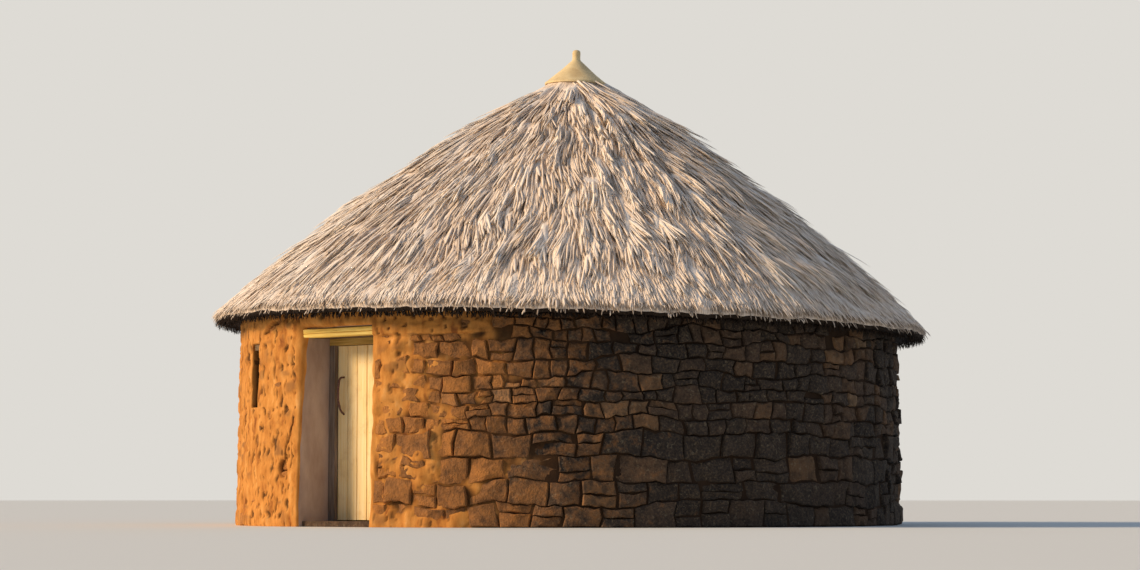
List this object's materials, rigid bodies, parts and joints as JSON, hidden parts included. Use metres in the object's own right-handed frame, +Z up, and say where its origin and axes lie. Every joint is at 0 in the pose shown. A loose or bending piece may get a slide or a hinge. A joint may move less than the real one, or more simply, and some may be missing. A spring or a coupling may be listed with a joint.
{
  "type": "rondavel hut",
  "caption": "Round mud-faced stone hut with a convex thatched cone roof on poles, an apex cap, an inward boarded door and a slot window.",
  "frame": {"origin": "centre of the round wall at ground level", "axes": "+Z up; the doorway looks along -Y; the roof leans slightly down towards 42 degrees from +X"},
  "size_m": [6.8988, 6.8991, 4.6596],
  "materials": {
    "wall": "mud-faced rubble",
    "thatch": "weathered grass",
    "lintel_timber": "pale painted",
    "frame_timber": "weathered",
    "pole_timber": "barked pole",
    "painted_boards": "cream paint",
    "iron": "rusted",
    "threshold": "worn",
    "cap": "smooth clay"
  },
  "bodies": {
    "hut": {"wall_bay_1": "wall", "wall_bay_2": "wall", "wall_bay_3": "wall", "wall_bay_4": "wall", "wall_bay_5": "wall", "wall_bay_6": "wall", "wall_bay_7": "wall", "wall_bay_8": "wall", "wall_window_bay": "wall", "wall_over_door": "wall", "thatch_course_1": "thatch", "thatch_course_2": "thatch", "thatch_course_3": "thatch", "thatch_course_4": "thatch", "outer_door_lintel": "lintel_timber", "inner_door_lintels": "lintel_timber", "window_lintels": "lintel_timber", "door_post_left": "frame_timber", "door_post_right": "frame_timber", "door_frame_head": "frame_timber", "long_rafters": "pole_timber", "short_rafters": "pole_timber", "crown_block": "pole_timber", "roof_laths": "pole_timber", "door_hinge_pins": "iron", "threshold_stone": "threshold", "apex_cap": "cap"},
    "door": {"door_leaf": "painted_boards", "door_ledges": "painted_boards", "door_braces": "painted_boards", "door_hinge_straps": "iron", "door_handle": "iron"}
  },
  "joints": [
    {"name": "door_swing", "type": "hinge", "parent": "hut", "child": "door", "pos_m": [0.4, -2.69455, 0.85], "axis": [0, 0, -1], "range_deg": [0, 100]}
  ]
}
